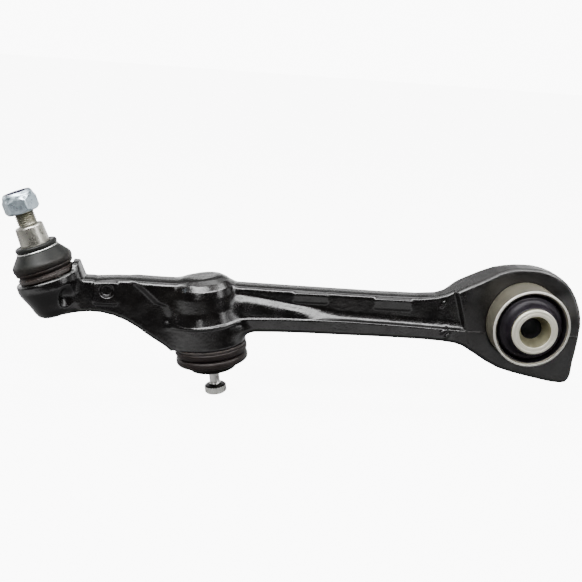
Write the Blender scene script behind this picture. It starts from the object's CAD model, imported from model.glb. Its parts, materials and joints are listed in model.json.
import itertools
import json
import math

import bmesh
import bpy
import numpy as np
from mathutils import Matrix, Vector


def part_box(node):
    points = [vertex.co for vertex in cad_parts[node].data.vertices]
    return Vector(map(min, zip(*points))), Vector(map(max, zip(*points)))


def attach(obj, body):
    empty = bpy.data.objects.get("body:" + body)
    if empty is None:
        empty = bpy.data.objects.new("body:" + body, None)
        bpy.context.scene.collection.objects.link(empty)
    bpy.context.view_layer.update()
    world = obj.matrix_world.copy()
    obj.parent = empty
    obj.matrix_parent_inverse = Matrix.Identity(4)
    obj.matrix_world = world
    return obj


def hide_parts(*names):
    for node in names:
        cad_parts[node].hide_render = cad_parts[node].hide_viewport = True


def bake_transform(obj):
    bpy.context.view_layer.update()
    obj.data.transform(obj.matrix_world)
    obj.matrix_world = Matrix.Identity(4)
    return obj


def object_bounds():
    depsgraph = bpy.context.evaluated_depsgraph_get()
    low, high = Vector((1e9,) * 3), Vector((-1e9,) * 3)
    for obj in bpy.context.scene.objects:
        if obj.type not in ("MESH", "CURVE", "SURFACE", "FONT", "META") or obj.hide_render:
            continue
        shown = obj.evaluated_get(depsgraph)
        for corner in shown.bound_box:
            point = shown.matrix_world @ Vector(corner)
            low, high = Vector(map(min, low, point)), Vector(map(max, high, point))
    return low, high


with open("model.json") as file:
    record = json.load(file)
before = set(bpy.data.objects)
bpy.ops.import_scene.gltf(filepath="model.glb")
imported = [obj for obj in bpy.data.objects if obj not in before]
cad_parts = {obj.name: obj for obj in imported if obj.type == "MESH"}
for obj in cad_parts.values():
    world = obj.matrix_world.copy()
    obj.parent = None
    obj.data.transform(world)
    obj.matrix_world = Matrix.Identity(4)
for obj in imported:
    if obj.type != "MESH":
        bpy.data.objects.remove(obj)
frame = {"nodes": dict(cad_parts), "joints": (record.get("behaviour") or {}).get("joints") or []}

cad_low, cad_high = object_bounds()
MM = 0.001
joints = {j["name"]: j for j in frame["joints"]}


# ---- places --------------------------------------------------------------------------------------

def axes_at(joint):
    """The frame of a joint in millimetres: Z along its axis, Y level and across the arm."""
    z = Vector(joints[joint]["axis"]).normalized()
    x = Vector((0, 1, 0)).cross(z) if abs(z.y) < 0.5 else Vector((1, 0, 0))
    y = z.cross(x)
    origin = Vector(joints[joint]["pos_m"]) / MM
    return Matrix((x, y, z)).transposed().to_4x4(), origin


def place(joint):
    """The matrix that stands a turned shape on a joint's axis, with its zero height at the joint's centre."""
    turn, origin = axes_at(joint)
    return Matrix.Translation(origin) @ turn


BUSH = place("bush_twist")
STUD = place("stud_spin")
SUPPORT = place("support_spin")


def along(place_matrix, height):
    """A point on a joint's axis, in metres."""
    return tuple(place_matrix @ Vector((0, 0, height)) * MM)


# ---- nodes and colours ---------------------------------------------------------------------------

def linear(hex_colour):
    """An sRGB hex colour as the linear colour that the nodes want."""
    values = [int(hex_colour[i : i + 2], 16) / 255 for i in (0, 2, 4)]
    return [v / 12.92 if v <= 0.04045 else ((v + 0.055) / 1.055) ** 2.4 for v in values] + [1.0]


def add(tree, kind, settings=None, inputs=None):
    """Adds a node. Settings are its properties; inputs are values, or other nodes' sockets to link."""
    node = tree.nodes.new(kind)
    for name, value in (settings or {}).items():
        setattr(node, name, value)
    for name, value in (inputs or {}).items():
        if isinstance(value, bpy.types.NodeSocket):
            tree.links.new(value, node.inputs[name])
        else:
            node.inputs[name].default_value = value
    return node


def maths(tree, operation, first, second=0.0):
    """One sum on two numbers or sockets."""
    return add(tree, "ShaderNodeMath", {"operation": operation}, {0: first, 1: second}).outputs[0]


def noise(tree, where, size, detail=3.0, roughness=0.55):
    """Noise whose blotches are about size millimetres across."""
    inputs = {"Vector": where, "Scale": 1 / (size * MM), "Detail": detail, "Roughness": roughness}
    return add(tree, "ShaderNodeTexNoise", None, inputs).outputs["Fac"]


def spread(tree, value, low, high, from_low=0.3, from_high=0.7):
    """Maps the middle of a pattern's range to low...high."""
    inputs = {"Value": value, "From Min": from_low, "From Max": from_high, "To Min": low, "To Max": high}
    return add(tree, "ShaderNodeMapRange", None, inputs).outputs["Result"]


def two_colours(tree, factor, first, second):
    """Blends from the first colour to the second as the pattern goes from 0 to 1."""
    ramp = add(tree, "ShaderNodeValToRGB", None, {"Fac": factor})
    ramp.color_ramp.elements[0].color = linear(first)
    ramp.color_ramp.elements[1].color = linear(second)
    return ramp.outputs["Color"]


def bumps(tree, layers):
    """Stacks bump nodes: each layer is (height socket, depth in mm, strength)."""
    normal = None
    for height, depth, strength in layers:
        inputs = {"Height": height, "Distance": depth * MM, "Strength": strength}
        if normal:
            inputs["Normal"] = normal
        normal = add(tree, "ShaderNodeBump", None, inputs).outputs["Normal"]
    return normal


def new_material(name):
    """An empty material with its object coordinates."""
    material = bpy.data.materials.new(name)
    material.use_nodes = True
    tree = material.node_tree
    tree.nodes.clear()
    where = add(tree, "ShaderNodeTexCoord").outputs["Object"]
    return material, tree, where


def finish_material(tree, inputs):
    """Ends a material with one shader that takes these inputs."""
    shader = add(tree, "ShaderNodeBsdfPrincipled", None, inputs)
    add(tree, "ShaderNodeOutputMaterial", None, {"Surface": shader.outputs["BSDF"]})


def black_forging_paint():
    """Black electro-dip paint over a shot-blasted forging: a deep wet gloss that follows the pitted steel."""
    material, tree, where = new_material("black_dip_paint")
    blotches = noise(tree, where, 22, 2)
    pits = noise(tree, where, 1.8, 4, 0.6)
    orange_peel = noise(tree, where, 3.2, 1)
    scale_marks = noise(tree, where, 9, 3)
    # handling has dulled the coat round the eye
    length = add(tree, "ShaderNodeSeparateXYZ", None, {0: where}).outputs["X"]
    dull = spread(tree, length, 0, 0.16, -60 * MM, -35 * MM)
    finish_material(tree, {
        "Base Color": two_colours(tree, blotches, "0a090d", "14110d"),
        "Roughness": maths(tree, "ADD", spread(tree, scale_marks, 0.12, 0.28), dull),
        "Specular IOR Level": 0.5,
        "Normal": bumps(tree, [
            (pits, 0.2, 0.6),
            (orange_peel, 0.14, 0.4),
            (scale_marks, 0.4, 0.3),
        ]),
    })
    return material


def plated_steel(name, first, second, roughness, blotch=6.0, grain=0.5, depth=0.03, metal=1.0):
    """Zinc-plated or bare machined steel: a soft grey metal with cloudy patches and fine tool marks."""
    material, tree, where = new_material(name)
    clouds = noise(tree, where, blotch, 3)
    marks = noise(tree, where, grain, 3)
    finish_material(tree, {
        "Base Color": two_colours(tree, clouds, first, second),
        "Metallic": metal,
        "Roughness": spread(tree, clouds, roughness - 0.06, roughness + 0.08),
        "Normal": bumps(tree, [(marks, depth, 0.4)]),
    })
    return material


def moulded_rubber(name, first, second, roughness=0.5, axis=None, span=(0, 1), low=None):
    """Moulded rubber: near black and satin, with a faint mould skin.

    With an axis, the rubber is stained brown near the low end of its span of heights.
    """
    material, tree, where = new_material(name)
    clouds = noise(tree, where, 7, 3)
    skin = noise(tree, where, 0.8, 3)
    colour = two_colours(tree, clouds, first, second)
    if axis:
        row = axis.inverted().row[2]
        height = add(tree, "ShaderNodeVectorMath", {"operation": "DOT_PRODUCT"},
                     {0: where, 1: (row[0], row[1], row[2])}).outputs["Value"]
        stain = spread(tree, height, 1, 0, (span[0] - row[3]) * MM, (span[1] - row[3]) * MM)
        patch = maths(tree, "MULTIPLY", stain, spread(tree, noise(tree, where, 5, 3), 0.3, 1))
        colour = add(tree, "ShaderNodeMix", {"data_type": "RGBA"},
                     {0: patch, 6: colour, 7: linear(low)}).outputs[2]
    finish_material(tree, {
        "Base Color": colour,
        "Roughness": spread(tree, clouds, roughness - 0.06, roughness + 0.08),
        "Specular IOR Level": 0.18,
        "Normal": bumps(tree, [(skin, 0.06, 0.4)]),
    })
    return material


def moulded_polymer(name, first, second, roughness):
    """Injection-moulded polymer: an even, slightly soft gloss."""
    material, tree, where = new_material(name)
    clouds = noise(tree, where, 4, 2)
    finish_material(tree, {
        "Base Color": two_colours(tree, clouds, first, second),
        "Roughness": spread(tree, clouds, roughness - 0.05, roughness + 0.05),
        "Normal": bumps(tree, [(noise(tree, where, 0.7, 2), 0.03, 0.3)]),
    })
    return material


PAINT = black_forging_paint()
SLEEVE_ZINC = plated_steel("sleeve_zinc_plate", "5e5a4e", "716e60", 0.5, metal=0.4)
SLEEVE_RIM = plated_steel("turned_sleeve_end", "faf6ea", "fffdf4", 0.4, 3, metal=0.1)
CORE_BORE = moulded_rubber("oiled_bore", "020202", "050504", 0.8)
CORE_ZINC = plated_steel("core_sleeve_zinc_plate", "7d7963", "98947a", 0.42, 4, metal=0.6)
CORE_FACE = plated_steel("faced_core_end", "faf5de", "fffcec", 0.4, 4, metal=0.1)
STUD_STEEL = plated_steel("ground_stud_steel", "929087", "b2b0a7", 0.28, 5, 0.35, 0.004, 0.85)
THREAD_STEEL = plated_steel("rolled_thread_steel", "7c7a6c", "98968a", 0.4, 4, metal=0.85)
NUT_ZINC = plated_steel("nut_blue_zinc_plate", "a3b4be", "cdd9e2", 0.3, 4, metal=0.8)
SCREW_ZINC = plated_steel("screw_zinc_plate", "b0b0ac", "d6d6d2", 0.32, 3, metal=0.8)
WIRE = plated_steel("sprung_steel_wire", "d2d2cf", "f0f0ee", 0.25, 3, metal=0.7)
BAND = moulded_polymer("dark_clamp_band", "1c1613", "281f1a", 0.42)
PRESSED_RING = plated_steel("pressed_ring_steel", "5c5b58", "7a7874", 0.45)
PIN_STEEL = plated_steel("turned_pin_steel", "6f6e6a", "8c8a85", 0.35)
SEAT_BLACK = plated_steel("phosphated_seat_steel", "161614", "242320", 0.45, 5)
BUSH_RUBBER = moulded_rubber("bush_natural_rubber", "19161b", "272329", 0.4)
BOOT_RUBBER = moulded_rubber("boot_chloroprene", "121313", "20211e", 0.45, STUD, (10, 24), "2b1a14")
SUPPORT_RUBBER = moulded_rubber("support_boot_chloroprene", "120e0d", "221a18", 0.45)
INSERT = moulded_polymer("nut_insert_polyamide", "151022", "241c38", 0.4)
SHELL = moulded_polymer("bearing_acetal", "d8d5c4", "e8e5d6", 0.4)


# ---- meshes --------------------------------------------------------------------------------------

def rounded(outline, steps=5):
    """Replaces each corner [r, h, size] of a closed outline by a short curve that starts size before it."""
    made = []
    for i, corner in enumerate(outline):
        point = Vector(corner[:2])
        if len(corner) < 3:
            made.append(point)
            continue
        back = Vector(outline[i - 1][:2]) - point
        on = Vector(outline[(i + 1) % len(outline)][:2]) - point
        size = min(corner[2], 0.48 * back.length, 0.48 * on.length)
        a, b = point + back.normalized() * size, point + on.normalized() * size
        for k in range(steps + 1):
            t = k / steps
            made.append(a * (1 - t) ** 2 + point * 2 * t * (1 - t) + b * t * t)
    return made


def sweep(loops, place_matrix):
    """A closed surface through loops[turn][point] = (r, h), turned about Z and put in place, as a bmesh."""
    loops = np.asarray(loops, float)
    turns, count, _ = loops.shape
    angle = np.linspace(0, 2 * math.pi, turns, endpoint=False)[:, None]
    points = np.stack([loops[..., 0] * np.cos(angle), loops[..., 0] * np.sin(angle), loops[..., 1]], -1)
    mesh = bmesh.new()
    verts = [[mesh.verts.new(place_matrix @ Vector(p)) for p in loop] for loop in points]
    for i, k in itertools.product(range(turns), range(count)):
        a, b = verts[i], verts[(i + 1) % turns]
        mesh.faces.new((a[k], b[k], b[(k + 1) % count], a[(k + 1) % count]))
    bmesh.ops.remove_doubles(mesh, verts=mesh.verts, dist=1e-4)
    bmesh.ops.recalc_face_normals(mesh, faces=mesh.faces)
    return mesh


def lathe(outline, place_matrix, turns=144):
    """A closed outline of [r, h] or [r, h, corner size] turned about the Z of its place."""
    loop = [(p.x, p.y) for p in rounded(outline)]
    return sweep([loop] * turns, place_matrix)


def new_object(name, data):
    """An object in the scene that holds this data."""
    made = bpy.data.objects.new(name, data)
    bpy.context.scene.collection.objects.link(made)
    return made


def make_piece(name, parts, materials, body, replaced=(), sharp=35):
    """Joins shapes into one named piece. Each part is a bmesh, or a bmesh and its material's index."""
    joined = bmesh.new()
    for part in parts:
        part, index = part if isinstance(part, tuple) else (part, 0)
        for face in part.faces:
            face.material_index = index
        loose = bpy.data.meshes.new("part")
        part.to_mesh(loose)
        part.free()
        joined.from_mesh(loose)
        bpy.data.meshes.remove(loose)
    mesh = bpy.data.meshes.new(name)
    joined.to_mesh(mesh)
    joined.free()
    return finish_piece(name, mesh, materials, body, replaced, sharp)


def finish_piece(name, mesh, materials, body, replaced=(), sharp=35):
    """Gives a mesh its materials and stands it in the scene as a piece of one body, or blended over two.

    A blended piece's body is (first body, second body, start point, end point).
    """
    mesh.transform(Matrix.Scale(MM, 4))
    mesh.shade_smooth()
    mesh.set_sharp_from_angle(angle=math.radians(sharp))
    for material in materials:
        mesh.materials.append(material)
    piece = new_object(name, mesh)
    if isinstance(body, str):
        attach(piece, body)
    else:
        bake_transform(piece)
    if replaced:
        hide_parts(*replaced)
    return piece


# ---- geometry node pieces ------------------------------------------------------------------------

def new_tree(name, sizes):
    """An empty Geometry Nodes tree with one named number for each size."""
    tree = bpy.data.node_groups.new(name, "GeometryNodeTree")
    for size in sizes:
        tree.interface.new_socket(size, in_out="INPUT", socket_type="NodeSocketFloat")
    tree.interface.new_socket("Geometry", in_out="OUTPUT", socket_type="NodeSocketGeometry")
    return tree, add(tree, "NodeGroupInput").outputs


def end_tree(tree, geometry, material):
    """Ends a tree with real, painted geometry."""
    real = add(tree, "GeometryNodeRealizeInstances", None, {"Geometry": geometry}).outputs[0]
    painted = add(tree, "GeometryNodeSetMaterial", None, {"Geometry": real, "Material": material})
    add(tree, "NodeGroupOutput", None, {"Geometry": painted.outputs[0]})


THREAD_COLUMNS = 73


def thread_tree(material):
    """A thread's skin: a sheet wrapped round an axis, raised along a helix and running out at both ends."""
    tree, size = new_tree("rolled_thread", ["Radius", "Depth", "Pitch", "Start", "Length", "Rows"])
    sheet = add(tree, "GeometryNodeMeshGrid", None, {
        "Size X": 1.0, "Size Y": 1.0, "Vertices X": THREAD_COLUMNS, "Vertices Y": size["Rows"],
    }).outputs["Mesh"]
    position = add(tree, "GeometryNodeInputPosition").outputs[0]
    at = add(tree, "ShaderNodeSeparateXYZ", None, {0: position}).outputs
    around = maths(tree, "ADD", at["X"], 0.5)
    up = maths(tree, "MULTIPLY", maths(tree, "ADD", at["Y"], 0.5), size["Length"])
    phase = maths(tree, "FRACT", maths(tree, "SUBTRACT", maths(tree, "DIVIDE", up, size["Pitch"]), around))
    groove = maths(tree, "ABSOLUTE", maths(tree, "SUBTRACT", maths(tree, "MULTIPLY", phase, 2), 1))
    to_end = maths(tree, "MINIMUM", up, maths(tree, "SUBTRACT", size["Length"], up))
    fade = maths(tree, "MINIMUM", maths(tree, "DIVIDE", to_end, size["Pitch"]), 1.0)
    ridge = maths(tree, "MULTIPLY", maths(tree, "SUBTRACT", 1, groove), fade)
    raised = maths(tree, "MULTIPLY", size["Depth"], ridge)
    core = maths(tree, "SUBTRACT", size["Radius"], size["Depth"])
    # the first and the last row dip under the shank's surface
    closed = maths(tree, "MULTIPLY", maths(tree, "LESS_THAN", to_end, 0.01), 0.3)
    radius = maths(tree, "SUBTRACT", maths(tree, "ADD", core, raised), closed)
    angle = maths(tree, "MULTIPLY", around, 2 * math.pi)
    wrapped = add(tree, "ShaderNodeCombineXYZ", None, {
        "X": maths(tree, "MULTIPLY", radius, maths(tree, "COSINE", angle)),
        "Y": maths(tree, "MULTIPLY", radius, maths(tree, "SINE", angle)),
        "Z": maths(tree, "ADD", size["Start"], up),
    }).outputs[0]
    moved = add(tree, "GeometryNodeSetPosition", None, {"Geometry": sheet, "Position": wrapped}).outputs[0]
    welded = add(tree, "GeometryNodeMergeByDistance", None, {"Geometry": moved, "Distance": 0.001}).outputs[0]
    end_tree(tree, welded, material)
    return tree


def rib_tree(material):
    """A ring of upright ribs round a head."""
    tree, size = new_tree("head_ribs", ["Radius", "Rib radius", "Height", "Start", "Count"])
    ring = add(tree, "GeometryNodeMeshCircle", None, {
        "Vertices": size["Count"], "Radius": size["Radius"],
    }).outputs[0]
    rib = add(tree, "GeometryNodeMeshCylinder", None, {
        "Vertices": 10, "Radius": size["Rib radius"], "Depth": size["Height"],
    }).outputs["Mesh"]
    placed = add(tree, "GeometryNodeInstanceOnPoints", None, {"Points": ring, "Instance": rib}).outputs[0]
    lift = maths(tree, "ADD", size["Start"], maths(tree, "DIVIDE", size["Height"], 2))
    offset = add(tree, "ShaderNodeCombineXYZ", None, {"Z": lift}).outputs[0]
    moved = add(tree, "GeometryNodeTranslateInstances", None, {
        "Instances": placed, "Translation": offset,
    }).outputs[0]
    end_tree(tree, moved, material)
    return tree


def grown(tree, sizes, place_matrix):
    """Runs a tree with these sizes, and gives its mesh in place as a bmesh."""
    holder = new_object("holder", bpy.data.meshes.new("holder"))
    modifier = holder.modifiers.new("grow", "NODES")
    modifier.node_group = tree
    for item in tree.interface.items_tree:
        if item.in_out == "INPUT" and item.name in sizes:
            modifier[item.identifier] = float(sizes[item.name])
    bpy.context.view_layer.update()
    evaluated = holder.evaluated_get(bpy.context.evaluated_depsgraph_get())
    plain = bpy.data.meshes.new_from_object(evaluated)
    holder.modifiers.remove(modifier)
    bpy.data.objects.remove(holder)
    mesh = bmesh.new()
    mesh.from_mesh(plain)
    bpy.data.meshes.remove(plain)
    mesh.transform(place_matrix)
    bmesh.ops.recalc_face_normals(mesh, faces=mesh.faces)
    return mesh


# ---- the forging ---------------------------------------------------------------------------------
# It is one solid described by its distance field: flat outlines seen from the front, given a thickness that
# changes from place to place, joined softly with the two turned joint housings.

# half the thickness of each part of the forging
WEB_HALF, FOOT_HALF, EYE_HALF, BAR_HALF = 7.5, 13.3, 14.0, 9.0
EDGE_ROUND = 2.6
# the grid on which the distance field is sampled
GRID_STEP = 0.9

# the eye, the neck and the shank, seen from the front: [x, z]
ARM_OUTLINE = [
    [0, 38.9], [6, 38.8], [11, 38.1], [16, 36.9], [21.4, 35], [26.6, 32.4], [31.4, 28.8], [35.6, 24.2],
    [39.2, 18.3], [41.8, 11.6], [43.2, 5], [43.9, -2], [43.7, -10], [43.2, -20], [42.6, -30], [42.7, -40],
    [41.8, -44.4], [39.4, -47.3], [35.6, -48], [29, -47.6], [23.6, -46.7], [14.1, -44.8], [4.6, -42.9],
    [-5, -40.6], [-14.6, -37.8], [-24.4, -33], [-34.3, -27], [-44, -21.6], [-50, -19.9], [-60, -18.8],
    [-75, -18.1], [-107, -17.7], [-165, -17.7], [-182, -18], [-198, -18.7], [-205, -19.3], [-212, -20.5],
    [-225, -23], [-225, 14.8], [-190, 14.2], [-150, 13.6], [-108, 13], [-79, 13.1], [-65, 14.3],
    [-58, 16.4], [-54, 18.6], [-50, 21.2], [-43, 25], [-36, 28.4], [-28.9, 32], [-21.8, 35.4],
    [-14.6, 37.5], [-7, 38.7],
]
# the bar between the two joint housings, with the gusset under it: [x, z]
BAR_OUTLINE = [
    [-226, 14.8], [-267.5, 15], [-285, 15.4], [-299, 15], [-312, 14], [-318, 13.3], [-334, 11],
    [-334, -11.6], [-325.6, -11], [-317, -10], [-308.6, -10.4], [-300, -12.2], [-291.4, -15.5],
    [-282.6, -20.4], [-273.8, -26.4], [-265, -31.7], [-256, -37], [-246, -38], [-236, -34], [-226, -22],
]
# the tab beside the outer joint's housing: [x, z]
SHOULDER_OUTLINE = [
    [-342, -4], [-342, 14], [-332.6, 23.6], [-330, 25.4], [-326, 25.2], [-324, 19.6], [-321.6, 13.8],
    [-316, 13.2], [-314, -7.3],
]
# the outer joint's housing, turned about the stud's axis: [radius, height]
HOUSING_OUTLINE = [
    [0, -18.6], [10, -18.6], [13.6, -17.9], [15.9, -16.2], [17.6, -12.5], [19.2, -7], [22.4, 1],
    [23.1, 3.2], [23.25, 5], [23.25, 8.4], [22.8, 9.5], [21.7, 10], [0, 10],
]
# the support joint's dome and collar, turned about the pin's axis: [radius, height]
BOSS_OUTLINE = [
    [0, -25], [10.5, -25], [14, -24.4], [18, -21.8], [21.2, -17.6], [22.4, -12.5], [22.6, -2], [23.1, 1],
    [24.8, 6.6], [25.8, 7.6], [25.9, 8.4], [25.4, 9.4], [25.5, 24.8], [24.9, 25.6], [0, 25.6],
]
# where the web's flat face ends: [x, z]
LEDGE_TOP = [
    [-330, 9.8], [-216, 9.6], [-203, 8.5], [-192, 7.1], [-178, 4.9], [-164, 3.1], [-150, 1.1],
    [-135, -0.6], [-106, -1.6], [-69, -2.8], [-40, -4.2],
]
# where the foot's front face starts: [x, z]
LEDGE_FOOT = [
    [-330, -13], [-220, -11.2], [-209.5, -9.2], [-202, -8.5], [-180.6, -7.7], [-158.8, -7.2],
    [-140.6, -7], [-129.6, -7], [-107.3, -7.4], [-92.4, -7.9], [-70, -8.6], [-40, -9.8],
]
# the step between the shank and the eye's plate: [z, x]
EYE_STEP = [
    [-20, -38.5], [-12.1, -41.2], [3.1, -46], [14.3, -49.6], [21.7, -52.6], [30, -56],
]
# the slanting edge where the bar's thick part starts: [z, x]
BAR_RIDGE = [[-20, -258], [-2.6, -267.2], [-0.7, -273], [8.5, -283.2], [14, -290.5], [20, -296]]
# blank raised pads on the web: x from and to, z from and to
PADS = ((-171.5, -146, 4.6, 12.4), (-112, -84, 2.4, 11))
# hammer nicks near the eye, each a line from (x, z) to (x, z)
NICKS = (((-60.7, -11.4), (-56.6, -8.3)), ((-57.2, -15), (-55.3, -12.6)), ((-61.3, 7.3), (-60.1, 10.4)))
# the shallow round recess in the bar's front: [x, z]
RECESS = (-305.6, 6.2)
RECESS_DEPTH = 3.8
# the dent beside the outer housing: its centre, how far it is stretched each way, and its radius
DENT, DENT_STRETCH, DENT_SIZE = (-330.5, -19, 2), (1.1, 1, 1.3), 6.2
EYE_BORE = 28.4
# where the bar's relief gives way to the shank's
BAR_END = -222
# each joint's ball hollow: its radius, the retaining ring seat's radius, and the height where that seat starts
HOLLOWS = {"stud_spin": (15.8, 17.6, 8), "support_spin": (19.1, 20.6, 14)}
# (radius, height) where the outer boot sits down, and beyond which nothing stands at the support joint
BOOT_SEAT = (20.7, 10)
COLLAR_RIM = (30, 25.6)


def outline_distance(x, z, outline):
    """Distance in the front view to a closed outline, below zero inside it."""
    points = np.asarray(outline, float)
    nearest = np.full(np.broadcast(x, z).shape, 1e9)
    inside = np.zeros(nearest.shape, bool)
    for (ax, az), (bx, bz) in zip(points, np.roll(points, -1, 0)):
        ex, ez = bx - ax, bz - az
        wx, wz = x - ax, z - az
        t = np.clip((wx * ex + wz * ez) / (ex * ex + ez * ez), 0, 1)
        nearest = np.minimum(nearest, (wx - t * ex) ** 2 + (wz - t * ez) ** 2)
        if ez:
            inside ^= ((az > z) != (bz > z)) & (wx < ex * wz / ez)
    return np.where(inside, -1, 1) * np.sqrt(nearest)


def soft_union(a, b, reach):
    """Joins two solids with a fillet about reach wide."""
    near = np.maximum(reach - np.abs(a - b), 0) / reach
    return np.minimum(a, b) - near * near * reach / 4


def soft_cut(a, b, reach):
    """Takes solid b out of solid a, and rounds the edge."""
    return -soft_union(-a, b, reach)


def step_up(value, low, high):
    """Rises smoothly from 0 at low to 1 at high."""
    t = np.clip((value - low) / (high - low), 0, 1)
    return t * t * (3 - 2 * t)


def follow(value, table):
    """Reads a table of pairs, straight between its rows."""
    table = np.asarray(table, float)
    return np.interp(value, table[:, 0], table[:, 1])


def bar_mark(x, z, ends, radius):
    """1 on a line between two points, fading out over radius."""
    (ax, az), (bx, bz) = ends
    ex, ez = bx - ax, bz - az
    t = np.clip(((x - ax) * ex + (z - az) * ez) / (ex * ex + ez * ez), 0, 1)
    return np.exp(-((x - ax - t * ex) ** 2 + (z - az - t * ez) ** 2) / radius**2)


def raised_pad(x, z, x0, x1, z0, z1):
    """1 on a pad with round corners, 0 off it."""
    dx, dz = np.abs(x - (x0 + x1) / 2) - (x1 - x0) / 2 + 2, np.abs(z - (z0 + z1) / 2) - (z1 - z0) / 2 + 2
    off = np.hypot(np.maximum(dx, 0), np.maximum(dz, 0)) + np.minimum(np.maximum(dx, dz), 0) - 2
    return 1 - step_up(off, -0.8, 0.6)


def relief(x, y, z):
    """Half the forging's thickness at each place of the front view."""
    top, low = follow(x, LEDGE_TOP), follow(x, LEDGE_FOOT)
    run = top - low
    t = np.clip((top - z) / run, 0, 1)
    # by the support joint the ledge bulges out of the web; nearer the eye it is a hollow that ends in an edge
    start = t * t * (1 + 1.2 / run) / (t + 1.2 / run)
    edge = 1.1 * step_up(x, -214, -204) * (1 - step_up(x, -146, -128))
    depth, down = FOOT_HALF - WEB_HALF - edge, t * run
    bulge = depth * (1 - (1 - start) ** (0.9 + run / 5.5))
    hollow = (0.38 + 0.032 * down) * down
    hollow = hollow + (depth - hollow) * step_up(t, 0.82, 1)
    foot = WEB_HALF + bulge + (hollow - bulge) * step_up(x, -176, -140)
    foot = foot + edge * step_up(low + 1 - z, 0, 1)
    foot = foot - 0.07 * np.maximum(low - z, 0)
    # the eye's plate thins towards its top and its foot; its step is crisp in front and gentle behind
    step = follow(z, EYE_STEP)
    plate = EYE_HALF - 5.6 * step_up(x, -38, -4) * step_up(z, -2, 27) - 0.0012 * np.maximum(8 - z, 0) ** 2
    crisp = WEB_HALF + (plate - WEB_HALF) * step_up(x, step - 2.6, step)
    gentle = WEB_HALF + (plate - WEB_HALF) * step_up(x, step - 15, step + 9)
    shank = -soft_union(-foot, -np.where(y < 0, crisp, gentle), 2.5)
    ridge = x - follow(z, BAR_RIDGE)
    land = raised_pad(x, z, -315, -297.5, -3.6, 13.2)
    bar = BAR_HALF - 0.05 * (z - 3) + 1.8 * step_up(ridge, 0, 7) + 1.1 * land
    return np.where(x < BAR_END, bar, shank)


def front_marks(x, z):
    """What stands out of the front face (pads and nicks) or goes into it (the round recess)."""
    marks = 0
    for pad in PADS:
        marks = marks + raised_pad(x, z, *pad) * (1.3 - 0.09 * (pad[3] - z))
    for ends in NICKS:
        marks = marks + 1.1 * bar_mark(x, z, ends, 0.9)
    return marks - RECESS_DEPTH * (1 - step_up(np.hypot(x - RECESS[0], z - RECESS[1]), 3.8, 5.2))


def ball_hollow(radius, height, ball, seat, seat_height):
    """The room for a ball, its shell and its retaining ring, open towards the boot."""
    hollow = np.minimum(np.hypot(radius, height) - ball, np.maximum(radius - ball, -height))
    return np.minimum(hollow, np.maximum(radius - seat, seat_height - height))


def forging(x, y, z):
    """Distance to the forging's surface in millimetres, below zero in the steel."""
    side = soft_union(outline_distance(x, z, ARM_OUTLINE), outline_distance(x, z, BAR_OUTLINE), 3)
    side = soft_union(side, outline_distance(x, z, SHOULDER_OUTLINE), 3)
    # the shank's top is crowned towards the front
    side = side + 0.012 * np.minimum(y, 0) ** 2 * step_up(-x, 60, 80) * step_up(z, -3, 3)
    waves = 0.1 * (np.sin(x / 7.3 + 1.1) * np.sin(z / 5.1) + np.sin(x / 17.0 + z / 9.0))
    half = relief(x, y, z) + waves + np.where(y < 0, front_marks(x, z), 0)
    a, b = side + EDGE_ROUND, np.abs(y) - half + EDGE_ROUND
    solid = np.minimum(np.maximum(a, b), 0) + np.hypot(np.maximum(a, 0), np.maximum(b, 0)) - EDGE_ROUND
    boss, stud = round_axis(x, y, z, "support_spin"), round_axis(x, y, z, "stud_spin")
    solid = soft_union(solid, outline_distance(*boss, BOSS_OUTLINE), 5 + 6 * step_up(-z, 5, 18))
    solid = soft_union(solid, outline_distance(*stud, HOUSING_OUTLINE), 4)
    off = [(v - c) / stretch for v, c, stretch in zip((x, y, z), DENT, DENT_STRETCH)]
    solid = soft_cut(solid, np.sqrt(off[0] ** 2 + off[1] ** 2 + off[2] ** 2) - DENT_SIZE, 2)
    solid = soft_cut(solid, np.hypot(x, z) - EYE_BORE, 1.2)
    solid = np.maximum(solid, -ball_hollow(*stud, *HOLLOWS["stud_spin"]))
    solid = soft_cut(solid, np.maximum(stud[0] - BOOT_SEAT[0], BOOT_SEAT[1] - stud[1]), 1.6)
    # nothing stands below the collar's rim
    below = np.maximum(boss[0] - COLLAR_RIM[0], COLLAR_RIM[1] - boss[1])
    return np.maximum(solid, -np.minimum(ball_hollow(*boss, *HOLLOWS["support_spin"]), below))


def round_axis(x, y, z, joint):
    """(distance from a joint's axis, height along it)."""
    turn, origin = axes_at(joint)
    axis = turn.col[2]
    dx, dy, dz = x - origin.x, y - origin.y, z - origin.z
    height = dx * axis.x + dy * axis.y + dz * axis.z
    return np.sqrt(np.maximum(dx * dx + dy * dy + dz * dz - height * height, 0)), height


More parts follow.
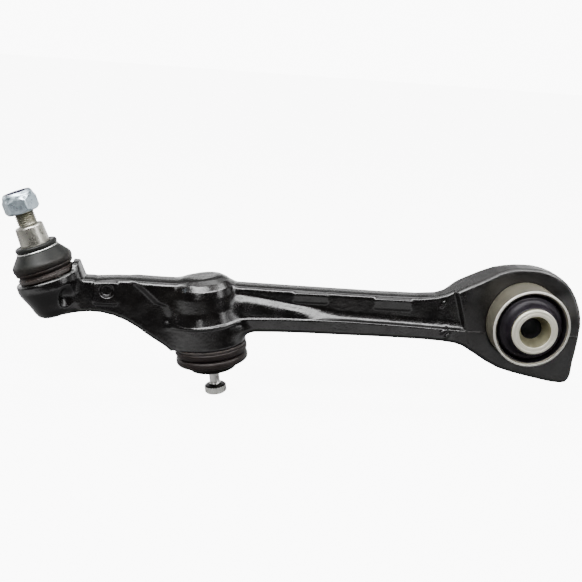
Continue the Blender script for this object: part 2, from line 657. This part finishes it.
def net_surface(field, low, step):
    """Points and four-sided faces where the sampled field crosses zero, one point in each crossed cell."""
    inside = field < 0
    cells = tuple(n - 1 for n in field.shape)
    corners = list(itertools.product((0, 1), repeat=3))

    def corner(array, c):
        """The samples at one corner of every cell."""
        return array[c[0] : c[0] + cells[0], c[1] : c[1] + cells[1], c[2] : c[2] + cells[2]]

    count = sum(corner(inside, c).astype(np.int8) for c in corners)
    crossed = (count > 0) & (count < 8)
    index = np.argwhere(crossed)
    number = np.full(cells, -1)
    number[crossed] = np.arange(len(index))
    total, hits = np.zeros((len(index), 3)), np.zeros(len(index))
    for a, b in itertools.combinations(corners, 2):
        if sum(abs(i - j) for i, j in zip(a, b)) != 1:
            continue
        fa, fb = (field[tuple((index + c).T)] for c in (a, b))
        cut = (fa < 0) != (fb < 0)
        t = np.where(cut, fa / np.where(cut, fa - fb, 1), 0)
        total += np.where(cut[:, None], np.array(a) + t[:, None] * (np.array(b) - np.array(a)), 0)
        hits += cut
    points = (index + total / hits[:, None]) * step + low
    faces = []
    for axis in range(3):
        one, two = [k for k in range(3) if k != axis]
        shift = np.zeros(3, int)
        shift[axis] = 1
        start = inside[tuple(slice(0, n - s) for n, s in zip(inside.shape, shift))]
        end = inside[tuple(slice(s, n) for n, s in zip(inside.shape, shift))]
        edge = np.argwhere(start != end)
        edge = edge[(edge[:, one] > 0) & (edge[:, two] > 0)]
        around = []
        for da, db in ((1, 1), (0, 1), (0, 0), (1, 0)):
            back = np.zeros(3, int)
            back[one], back[two] = da, db
            around.append(number[tuple((edge - back).T)])
        quads = np.stack(around, 1)
        flip = start[tuple(edge.T)] != (axis == 1)
        faces.append(np.where(flip[:, None], quads, quads[:, ::-1]))
    return points, np.concatenate(faces)


def settle(points, rounds=2, reach=0.05):
    """Moves points onto the true surface, so that the grid doesn't show."""
    for _ in range(rounds):
        value = forging(*points.T)
        slope = np.stack([
            (forging(*(points + d).T) - forging(*(points - d).T)) / (2 * reach) for d in np.eye(3) * reach
        ], 1)
        size = np.maximum((slope**2).sum(1), 0.2)
        points = points - np.clip(value / size, -0.5, 0.5)[:, None] * slope
    return points


def forged_arm():
    """Samples the forging, skins it and settles the skin on the true surface."""
    margin = 1.3
    low = np.array([cad_low.x, -26 * MM, -50 * MM]) / MM - margin
    high = np.array([cad_high.x, 26 * MM, 40 * MM]) / MM + margin
    x, y, z = (np.arange(a, b, GRID_STEP) for a, b in zip(low, high))
    field = forging(x[:, None, None], y[None, :, None], z[None, None, :])
    points, faces = net_surface(field, low, GRID_STEP)
    points = settle(points)
    mesh = bpy.data.meshes.new("forged_arm")
    mesh.from_pydata(points, [], faces.tolist())
    return finish_piece("forged_arm", mesh, [PAINT], "arm", ["arm_forging"], 70)


forged_arm()


# ---- the bush ------------------------------------------------------------------------------------

def bush():
    """A plated sleeve with a turned end, the bonded rubber, and a core with coned mouths and an oiled bore."""
    front, back = (corner.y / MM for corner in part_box("bush_outer_sleeve"))
    tube = lathe([
        [25.7, front + 1.6, 0.3], [26.9, front + 0.6, 0.3], [28.2, front + 0.6, 0.3],
        [28.5, front + 1.1, 0.3], [28.5, back - 0.5, 0.3], [28, back, 0.3], [25.7, back, 0.3],
    ], BUSH, 192)
    turned_end = lathe([
        [26.8, front + 1.2, 0.2], [26.8, front + 0.3, 0.2], [27.1, front, 0.2],
        [28, front, 0.4], [28.45, front + 0.7, 0.3], [28.45, front + 1.3],
    ], BUSH, 192)
    make_piece("outer_sleeve", [tube, (turned_end, 1)], [SLEEVE_ZINC, SLEEVE_RIM], "arm",
               ["bush_outer_sleeve"])
    make_piece("bonded_rubber", [lathe([
        [26.4, front + 1.3, 0.2], [25.5, front + 1.6, 0.3], [25.1, front + 9.4, 0.6], [24.5, front + 9, 0.6],
        [23.9, front + 4.8, 0.8], [22.8, front + 3.2, 1], [21, front + 2.8, 1.5], [19, front + 1.2, 1.5],
        [17.8, front - 1.6, 1], [17.5, front - 3.6, 0.4], [16.83, front - 4, 0.2], [16.83, back + 2, 0.2],
        [17.5, back + 1.8, 0.4], [18.2, back - 1.5, 1], [21, back - 3.2, 1.5], [23.4, back - 4, 1],
        [24.4, back - 8, 0.6], [25.72, back - 9, 0.5], [25.72, front + 1.9, 0.2],
    ], BUSH, 192)], [BUSH_RUBBER], "arm", ["bush_rubber"])
    # the core stands out further than the sleeve at both ends
    front, back = (corner.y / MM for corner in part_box("bush_inner_sleeve"))
    core = lathe([
        [7.6, front + 10.4], [11.6, front + 0.5, 0.2], [16.4, front + 0.5, 0.2], [16.7, front + 1, 0.5],
        [16.7, back - 1, 0.6], [15.9, back, 0.5], [11.8, back, 0.4], [7.6, back - 10.4],
    ], BUSH, 160)
    face = lathe([
        [11.55, front + 0.8], [11.7, front + 0.2, 0.2], [12, front, 0.2], [14, front, 0.2],
        [14.3, front + 0.3, 0.2], [14.6, front + 0.05, 0.2], [16, front, 0.5],
        [16.75, front + 0.9, 0.5], [16.75, front + 1.4],
    ], BUSH, 160)
    bore = lathe([
        [7.25, front + 11, 0.2], [7.7, front + 10.1], [8.4, front + 12], [8.4, back - 12],
        [7.7, back - 10.1], [7.25, back - 11, 0.2],
    ], BUSH, 128)
    make_piece("core_sleeve", [core, (bore, 1), (face, 2)], [CORE_ZINC, CORE_BORE, CORE_FACE], "bush_core",
               ["bush_inner_sleeve"])


bush()


# ---- the outer ball joint ------------------------------------------------------------------------

def arc(radius, first, last, steps=24):
    """Points of an arc about the ball's centre, from angle first to last in degrees."""
    angles = [math.radians(first + (last - first) * i / steps) for i in range(steps + 1)]
    return [[radius * math.cos(a), radius * math.sin(a)] for a in angles]


THREAD = thread_tree(THREAD_STEEL)


def ball_stud():
    """The ball, its neck, the ground taper and the rolled M14 thread."""
    blank = lathe([
        *arc(13.5, -90, 55), [6.8, 13, 1.5], [6.8, 19, 3], [10.6, 26, 2.5], [10.6, 33], [9.9, 47.2, 0.4],
        [9.4, 48.2, 0.4], [7, 48.8, 0.6], [6.1, 49.6, 0.3], [6.1, 68.9, 0.4], [5.2, 70, 0.3], [0, 70],
    ], STUD, 128)
    skin = grown(THREAD, {
        "Radius": 7, "Depth": 0.85, "Pitch": 1.5, "Start": 48.7, "Length": 20.6, "Rows": 166,
    }, STUD)
    make_piece("tapered_stud", [blank, (skin, 1)], [STUD_STEEL, THREAD_STEEL], "stud",
               ["ball_stud"], 40)


def lock_nut():
    """A hexagon with turned chamfers, and a collar that holds the insert."""
    turns, flats, height, base = 180, 11.1, 11.2, 58.4
    loops = []
    for i in range(turns):
        bearing = 2 * math.pi * i / turns - math.radians(30)
        corner = (bearing + math.pi / 6) % (math.pi / 3) - math.pi / 6
        wall = flats / math.cos(corner)
        # the corners are worn round, and the turned chamfers cut them back at both ends
        wall = wall - 0.35 * max(0, (abs(corner) - 0.45) / 0.075) ** 2
        drop = max(0, wall - 10.4) * 0.85
        loops.append([(p.x, p.y) for p in rounded([
            [7.05, base + 0.8, 0.2], [8, base, 0.2], [10.6, base, 0.3], [wall, base + 0.15 + drop, 0.35],
            [wall, base + height - 0.4 - drop, 0.35], [11, base + height + 0.2, 0.4],
            [10.8, base + 12.8, 1.4], [9.6, base + 14.7, 0.9], [8.9, base + 14.7, 0.2],
            [8.9, base + 12.2], [7.05, base + 12.2],
        ], 3)])
    make_piece("hexagon_nut", [sweep(loops, STUD)], [NUT_ZINC], "stud", ["lock_nut"], 30)
    make_piece("nut_insert", [lathe([
        [7.05, base + 12.25, 0.1], [8.85, base + 12.25, 0.1],
        [8.85, base + 14.6, 0.5], [7.05, base + 14.6, 0.6],
    ], STUD, 96)], [INSERT], "stud", ["lock_nut_insert"])


def outer_boot():
    """The boot in two runs that meet in a fold, so that it leans both ways; its clamp band and wire ring."""
    base, fold, lip = along(STUD, 12.8), along(STUD, 17.6), along(STUD, 30)
    make_piece("boot_foot", [lathe([
        [17.4, 10.05, 0.3], [19.6, 10.05, 0.3], [19.6, 13, 0.4], [18.95, 13.8, 0.5], [18.9, 14.7, 0.5],
        [20.2, 15.4, 0.8], [20.9, 16.6, 0.8], [20.7, 17.6, 0.3], [17.8, 17.6, 0.3],
    ], STUD, 160)], [BOOT_RUBBER], ("arm", "ball_shell", base, fold), ["ball_boot"], 50)
    make_piece("boot_cone", [lathe([
        [17.8, 17.6, 0.3], [20.75, 17.6, 0.3], [21.5, 19.2, 1.2], [21.5, 21.4, 1.4], [20.8, 22.9, 0.8],
        [15.8, 29.1, 0.6], [15.2, 29.9, 0.3], [13.9, 30, 0.3], [13.9, 31.5, 0.3], [15, 31.9, 0.5],
        [15.2, 33.8, 0.8], [14, 34.8, 0.7], [10.75, 34.4, 0.5], [10.75, 31], [12, 29.2, 0.8],
        [18.4, 21.6, 1], [18.4, 19, 0.8],
    ], STUD, 160)], [BOOT_RUBBER], ("ball_shell", "boot_ring", fold, lip), (), 50)
    band = lathe([[19.3, 10.6, 0.2], [20.3, 10.6, 0.3], [20.3, 12.8, 0.3], [19.3, 12.8, 0.2]], STUD, 144)
    lining = lathe([[17.5, 10.02], [19.45, 10.02], [19.45, 12.7, 0.4], [17.5, 12.7, 0.4]], STUD, 144)
    make_piece("boot_band", [band, (lining, 1)], [BAND, BOOT_RUBBER], "arm",
               ["ball_boot_base_band"])
    ring, level, thick = 14.6, 30.55, 0.55
    angles = [k * math.pi / 6 for k in range(12)]
    section = [[ring + thick * math.cos(a), level + thick * math.sin(a)] for a in angles]
    make_piece("boot_wire", [lathe(section, STUD, 128)], [WIRE], "boot_ring",
               ["ball_boot_top_ring"], 60)


ball_stud()
lock_nut()
outer_boot()


# ---- the support ball joint ----------------------------------------------------------------------

def support_joint():
    """The support pin with its seat disc, its two-run boot and clamp band, and the ribbed retaining screw."""
    base, fold, lip = along(SUPPORT, 27.4), along(SUPPORT, 33.4), along(SUPPORT, 38.6)
    make_piece("seat_pin", [lathe([
        *arc(16, -90, 55), [8.5, 14.5, 2], [8.5, 30, 2], [12, 34, 1], [12, 41], [9, 41], [9, 44.6, 0.4],
        [3.85, 44.7, 0.3], [3.85, 14.2], [0, 14.2],
    ], SUPPORT, 128)], [PIN_STEEL], "support_pin", ["support_pin"])
    make_piece("seat_disc", [lathe([
        [9.1, 41, 0.3], [17.2, 41, 0.4], [17.75, 41.7, 0.4], [17.75, 44, 0.6], [16.4, 45.4, 0.7],
        [9.6, 45.4, 0.4], [9.1, 45, 0.3],
    ], SUPPORT, 144)], [SEAT_BLACK], "support_pin", ["support_seat_disc"])
    make_piece("support_boot_foot", [lathe([
        [21.4, 25.62, 0.2], [25.3, 25.62, 0.2], [25.4, 27.4, 0.3], [26.5, 28.2, 0.6], [26.74, 30.2, 1],
        [26.2, 32.2, 0.8], [24.4, 33.2, 0.4], [24.1, 33.6, 0.2], [21.6, 33.6, 0.3],
    ], SUPPORT, 160)], [SUPPORT_RUBBER], ("arm", "support_shell", base, fold),
               ["support_boot"], 50)
    make_piece("support_boot_lip", [lathe([
        [21.6, 33.4, 0.2], [24.4, 33.4, 0.3], [26.1, 34.4, 1], [26.62, 36.4, 1.4], [26.4, 38.6, 1.2],
        [24.8, 39.6, 0.8], [17.6, 40.3, 0.6], [13.4, 40.7, 0.3], [13.4, 38.8], [12.4, 38.8],
        [15.4, 37.9, 0.4], [20, 35.8, 1],
    ], SUPPORT, 160)], [SUPPORT_RUBBER], ("support_shell", "support_ring", fold, lip), (), 50)
    make_piece("support_boot_band", [lathe([
        [25, 25.8, 0.2], [26.3, 25.8, 0.3], [26.3, 27.3, 0.3], [25, 27.3, 0.2],
    ], SUPPORT, 144)], [BAND], "arm", ["support_boot_base_band"])
    shank = lathe([
        [0, 26], [2.9, 26, 0.3], [3.1, 26.8], [3.1, 45], [3.8, 45.8], [3.8, 56.4, 1], [5, 58.8, 0.4],
        [7.2, 58.8, 0.4], [7.6, 59.3, 0.3], [7.6, 64.3, 0.4], [7, 65, 0.4], [4, 65, 0.3], [3.6, 64.4],
        [3.6, 61], [0, 60.4],
    ], SUPPORT, 96)
    skin = grown(THREAD, {
        "Radius": 3.75, "Depth": 0.55, "Pitch": 1.25, "Start": 26.6, "Length": 19, "Rows": 154,
    }, SUPPORT)
    ribs = grown(rib_tree(SCREW_ZINC), {
        "Radius": 7.5, "Rib radius": 0.62, "Height": 4.6, "Start": 59.5, "Count": 24,
    }, SUPPORT)
    under_head = lathe([
        [4.5, 57.6], [5.3, 58.68, 0.1], [7.1, 58.68, 0.2], [7.72, 59.3, 0.1], [7.72, 59.9], [4.5, 59.9],
    ], SUPPORT, 96)
    make_piece("ribbed_screw", [shank, skin, ribs, (under_head, 1)], [SCREW_ZINC, SEAT_BLACK], "support_pin",
               ["support_screw"], 40)


support_joint()

# pieces inside the joints keep their CAD shape
for node, material in (
    ("ball_bearing_shell", SHELL), ("support_bearing_shell", SHELL),
    ("ball_retaining_ring", PRESSED_RING), ("support_retaining_ring", PRESSED_RING),
    ("support_boot_pin_ring", WIRE),
):
    mesh = frame["nodes"][node].data
    mesh.materials.clear()
    mesh.materials.append(material)


# ---- studio --------------------------------------------------------------------------------------

def glow(name, colour, strength):
    """A material that only gives light."""
    material = bpy.data.materials.new(name)
    material.use_nodes = True
    tree = material.node_tree
    tree.nodes.clear()
    shader = add(tree, "ShaderNodeEmission", None, {"Color": linear(colour), "Strength": strength})
    add(tree, "ShaderNodeOutputMaterial", None, {"Surface": shader.outputs[0]})
    return material, tree, shader


def studio_floor():
    """A plain white floor just under the arm, which gives light so that it meets the room without a line."""
    mesh = bpy.data.meshes.new("floor")
    side, level = 6.0, cad_low.z - 0.0006
    corners = [(x, y, level) for x, y in ((-side, -side), (side, -side), (side, side), (-side, side))]
    mesh.from_pydata(corners, [], [(0, 1, 2, 3)])
    floor = new_object("floor", mesh)
    material = bpy.data.materials.new("white_floor")
    material.use_nodes = True
    shader = material.node_tree.nodes["Principled BSDF"].inputs
    for name, value in {
        "Base Color": linear("f4f4f2"), "Roughness": 0.9, "Specular IOR Level": 0.0,
        "Emission Color": linear("ffffff"), "Emission Strength": 9.0,
    }.items():
        shader[name].default_value = value
    mesh.materials.append(material)
    floor.visible_glossy = False
    floor.visible_diffuse = False


TENT_RADIUS = 3.0
TENT_POWER = 24.0
# brightness of the tent's cloth against height: 0 is its lowest point, 0.5 the horizon and 1 overhead
FRONT_WALL = (
    (0.0, 0.01), (0.2, 0.02), (0.29, 0.085), (0.32, 0.055), (0.35, 0.003), (0.74, 0.003), (0.8, 0.06),
    (0.855, 1.2), (0.89, 1.1), (0.92, 0.12), (0.95, 0.04), (1.0, 0.03),
)
BACK_WALL = (
    (0.0, 0.01), (0.3, 0.03), (0.44, 0.03), (0.5, 0.12), (0.58, 0.1), (0.63, 0.04), (0.69, 0.01),
    (0.8, 0.01), (1.0, 0.03),
)
# tall window strips: two in front, which only curved surfaces catch, and one behind for the top of the eye.
# Each is its bearing and half its width in degrees, the height where it starts, and its brightness.
WINDOW_STRIPS = ((-123, 7, 0.56, 0.3), (-34, 6, 0.5, 0.16), (65, 8, 0.5, 0.07))


def light_tent():
    """A big dome that only reflections see: a bright band high in front and a soft one low behind."""
    dome = bmesh.new()
    bmesh.ops.create_icosphere(dome, subdivisions=5, radius=TENT_RADIUS)
    mesh = bpy.data.meshes.new("light_tent")
    dome.to_mesh(mesh)
    dome.free()
    tent = new_object("light_tent", mesh)
    material, tree, shader = glow("tent_cloth", "ffffff", TENT_POWER)
    where = add(tree, "ShaderNodeTexCoord").outputs["Object"]
    sides = add(tree, "ShaderNodeSeparateXYZ", None, {0: where}).outputs
    level = add(tree, "ShaderNodeMapRange", None, {
        "Value": sides["Z"], "From Min": -TENT_RADIUS, "From Max": TENT_RADIUS,
    }).outputs["Result"]
    behind = add(tree, "ShaderNodeMapRange", {"interpolation_type": "SMOOTHSTEP"}, {
        "Value": sides["Y"], "From Min": -0.6, "From Max": 1.2,
    }).outputs["Result"]
    walls = []
    for stops in (FRONT_WALL, BACK_WALL):
        ramp = add(tree, "ShaderNodeValToRGB", None, {"Fac": level})
        elements = ramp.color_ramp.elements
        while len(elements) < len(stops):
            elements.new(0.5)
        for element, (spot, value) in zip(elements, stops):
            element.position = spot
            element.color = (value, value, value, 1)
        walls.append(ramp.outputs["Color"])
    cloth = add(tree, "ShaderNodeMix", {"data_type": "RGBA"}, {
        0: behind, 6: walls[0], 7: walls[1],
    }).outputs[2]
    bearing = maths(tree, "ARCTAN2", sides["Y"], sides["X"])
    for heading, half_width, bottom, strength in WINDOW_STRIPS:
        off = maths(tree, "ABSOLUTE", maths(tree, "SUBTRACT", bearing, math.radians(heading)))
        inside = spread(tree, off, 1, 0, math.radians(half_width - 1.5), math.radians(half_width))
        tall = maths(tree, "MULTIPLY", inside, spread(tree, level, 0, 1, bottom, bottom + 0.03))
        cloth = add(tree, "ShaderNodeMix", {"data_type": "RGBA"}, {
            0: tall, 6: cloth, 7: (strength, strength, strength, 1),
        }).outputs[2]
    tree.links.new(cloth, shader.inputs["Color"])
    mesh.materials.append(material)
    for kind in ("camera", "diffuse", "transmission", "volume_scatter", "shadow"):
        setattr(tent, "visible_" + kind, False)


def softbox(name, spot, size, power, target=(-0.17, 0, 0)):
    """A rectangular lamp aimed at the arm's middle, which the camera doesn't see."""
    light = bpy.data.lights.new(name, "AREA")
    light.shape = "RECTANGLE"
    light.size, light.size_y = size
    light.energy = power
    holder = new_object(name, light)
    holder.location = spot
    holder.rotation_mode = "QUATERNION"
    holder.rotation_quaternion = (Vector(target) - Vector(spot)).to_track_quat("-Z", "Y")
    holder.visible_camera = False
    return holder


def studio():
    """White floor and room for the camera, the tent for glossy surfaces, and softboxes for matt ones."""
    studio_floor()
    light_tent()
    softbox("key", (-0.5, -0.7, 1.1), (0.8, 0.5), 14)
    softbox("top", (-0.1, 0.3, 1.2), (1.2, 0.6), 10)
    softbox("left_strip", (-1.2, -0.5, 0.3), (0.25, 1.0), 6).visible_glossy = False
    softbox("right_fill", (0.9, -0.6, 0.5), (0.5, 0.8), 4)
    world = bpy.data.worlds.new("white_room")
    world.use_nodes = True
    room = world.node_tree.nodes["Background"].inputs
    room["Color"].default_value = linear("ffffff")
    room["Strength"].default_value = 10.0
    world.cycles_visibility.glossy = False
    world.cycles_visibility.diffuse = False
    bpy.context.scene.world = world


studio()


# ---- camera --------------------------------------------------------------------------------------

CAMERA_SPOT = (-0.2353634, -0.6732573, 0.1919697)
CAMERA_DEGREES = (-5.3, 15.0, 4.3016)
LENS = 59.03


def camera():
    """Looks at the front from a little above, rolled so that the arm slopes down towards the eye."""
    azimuth, elevation, roll = (math.radians(v) for v in CAMERA_DEGREES)
    level = math.cos(elevation)
    back = Vector((math.sin(azimuth) * level, -math.cos(azimuth) * level, math.sin(elevation)))
    right = (-back).cross(Vector((0, 0, 1))).normalized()
    up = right.cross(-back)
    right, up = right * math.cos(roll) + up * math.sin(roll), up * math.cos(roll) - right * math.sin(roll)
    data = bpy.data.cameras.new("camera")
    data.sensor_width, data.lens = 36, LENS
    data.clip_start, data.clip_end = 0.05, 50
    holder = new_object("camera", data)
    turn = Matrix((right, up, back)).transposed().to_4x4()
    holder.matrix_world = Matrix.Translation(CAMERA_SPOT) @ turn
    bpy.context.scene.camera = holder


camera()
